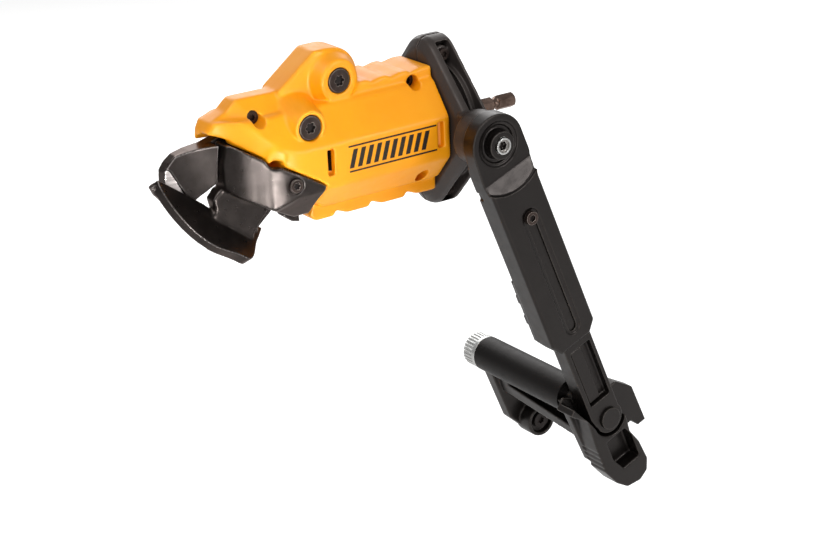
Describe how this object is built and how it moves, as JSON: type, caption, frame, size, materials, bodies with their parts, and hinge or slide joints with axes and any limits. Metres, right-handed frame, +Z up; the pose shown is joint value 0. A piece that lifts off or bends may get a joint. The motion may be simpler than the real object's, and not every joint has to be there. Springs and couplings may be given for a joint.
{
  "type": "drill-driven sheet metal shear head with support arm",
  "caption": "Two-jaw shear head with hex drive shank, clamshell housing, swivel collar and a telescoping support arm that braces against the driver",
  "frame": {"origin": "centre of the hex shank's end face, on the drive axis", "axes": "+X along the drive axis from the jaws to the driver, +Z up with the moving jaw on top, the support arm on the -Y side"},
  "size_m": [0.2401, 0.096, 0.2392],
  "materials": {
    "yellow_nylon": "moulded satin, fine texture",
    "black_nylon": "glass-filled nylon, satin",
    "blackened_steel": "black oxide, ground shear face",
    "black_screw": "black phosphate",
    "plated_steel": "zinc plated",
    "bright_plated": "bright plated",
    "ground_steel": "ground",
    "shank_steel": "dark hardened",
    "carrier_metal": "turned",
    "black_tube": "smooth semi-gloss",
    "seal_rubber": "matt"
  },
  "bodies": {
    "head": {"housing_left": "yellow_nylon", "housing_right": "yellow_nylon", "housing_screws": "black_screw", "lower_jaw": "blackened_steel", "pivot_sleeve": "ground_steel", "pivot_bolt": "black_screw", "hump_bolt": "black_screw", "bolt_nuts": "plated_steel", "jaw_screw": "black_screw", "bearing_carrier": "carrier_metal", "dust_seal": "seal_rubber", "rear_bearing_outer": "ground_steel", "front_bearing_outer": "ground_steel"},
    "drive": {"drive_shaft": "shank_steel", "retaining_ring": "plated_steel", "rear_bearing_inner": "ground_steel", "front_bearing_inner": "ground_steel", "cam_bearing_inner": "ground_steel"},
    "rear_balls": {"rear_bearing_balls": "ground_steel"},
    "front_balls": {"front_bearing_balls": "ground_steel"},
    "cam_balls": {"cam_bearing_balls": "ground_steel"},
    "cam_ring": {"cam_bearing_outer": "ground_steel"},
    "moving_jaw": {"upper_jaw": "blackened_steel"},
    "collar": {"collar_left": "black_nylon", "collar_right": "black_nylon", "collar_screws": "black_screw", "arm_nut": "plated_steel", "arm_pivot_bolt": "bright_plated", "wave_washer": "plated_steel"},
    "arm": {"upper_arm": "black_nylon", "arm_sleeve": "bright_plated"},
    "latch": {"length_latch": "black_nylon"},
    "inner_arm": {"lower_arm": "black_nylon", "slide_screw": "black_screw", "slide_nut": "plated_steel", "foot_pin": "black_nylon", "pin_clip": "plated_steel"},
    "foot": {"foot_yoke": "black_nylon", "spacer_tube": "black_tube", "clamp_rod": "plated_steel", "end_screw": "plated_steel"},
    "clamp_nut": {"knurled_nut": "bright_plated"}
  },
  "joints": [
    {"name": "shaft_spin", "type": "hinge", "parent": "head", "child": "drive", "pos_m": [-0.075, 0, 0], "axis": [1, 0, 0], "continuous": true},
    {"name": "rear_cage_roll", "type": "hinge", "parent": "head", "child": "rear_balls", "pos_m": [-0.0605, 0, 0], "axis": [1, 0, 0], "continuous": true},
    {"name": "front_cage_roll", "type": "hinge", "parent": "head", "child": "front_balls", "pos_m": [-0.0825, 0, 0], "axis": [1, 0, 0], "continuous": true},
    {"name": "cam_cage_roll", "type": "hinge", "parent": "drive", "child": "cam_balls", "pos_m": [-0.093, 0, 0.001], "axis": [1, 0, 0], "continuous": true},
    {"name": "cam_ring_roll", "type": "hinge", "parent": "drive", "child": "cam_ring", "pos_m": [-0.093, 0, 0.001], "axis": [1, 0, 0], "continuous": true},
    {"name": "jaw_swing", "type": "hinge", "parent": "head", "child": "moving_jaw", "pos_m": [-0.1265, 0.001, 0.0175], "axis": [0, 1, 0], "range_deg": [0, 3.3]},
    {"name": "collar_turn", "type": "hinge", "parent": "head", "child": "collar", "pos_m": [-0.048, 0, 0], "axis": [1, 0, 0], "continuous": true},
    {"name": "arm_swing", "type": "hinge", "parent": "collar", "child": "arm", "pos_m": [-0.0475, -0.049, 0], "axis": [0, 1, 0], "range_deg": [-60, 35]},
    {"name": "arm_extend", "type": "slide", "parent": "arm", "child": "inner_arm", "axis": [0.3665, 0, -0.9304], "range_m": [0, 0.06]},
    {"name": "latch_slide", "type": "slide", "parent": "arm", "child": "latch", "axis": [0.3665, 0, -0.9304], "range_m": [0, 0.004]},
    {"name": "foot_tilt", "type": "hinge", "parent": "inner_arm", "child": "foot", "pos_m": [0.01294, -0.049, -0.15181], "axis": [0, 1, 0], "range_deg": [-18, 4]},
    {"name": "clamp_nut_turn", "type": "hinge", "parent": "foot", "child": "clamp_nut", "pos_m": [0.00137, 0.034, -0.14154], "axis": [0, 1, 0], "range_deg": [0, 360]}
  ],
  "couplings": [
    {"joint": "rear_cage_roll", "follows": "shaft_spin", "ratio": 0.41},
    {"joint": "front_cage_roll", "follows": "shaft_spin", "ratio": 0.41},
    {"joint": "cam_cage_roll", "follows": "shaft_spin", "ratio": -0.5838},
    {"joint": "cam_ring_roll", "follows": "shaft_spin", "ratio": -1}
  ]
}
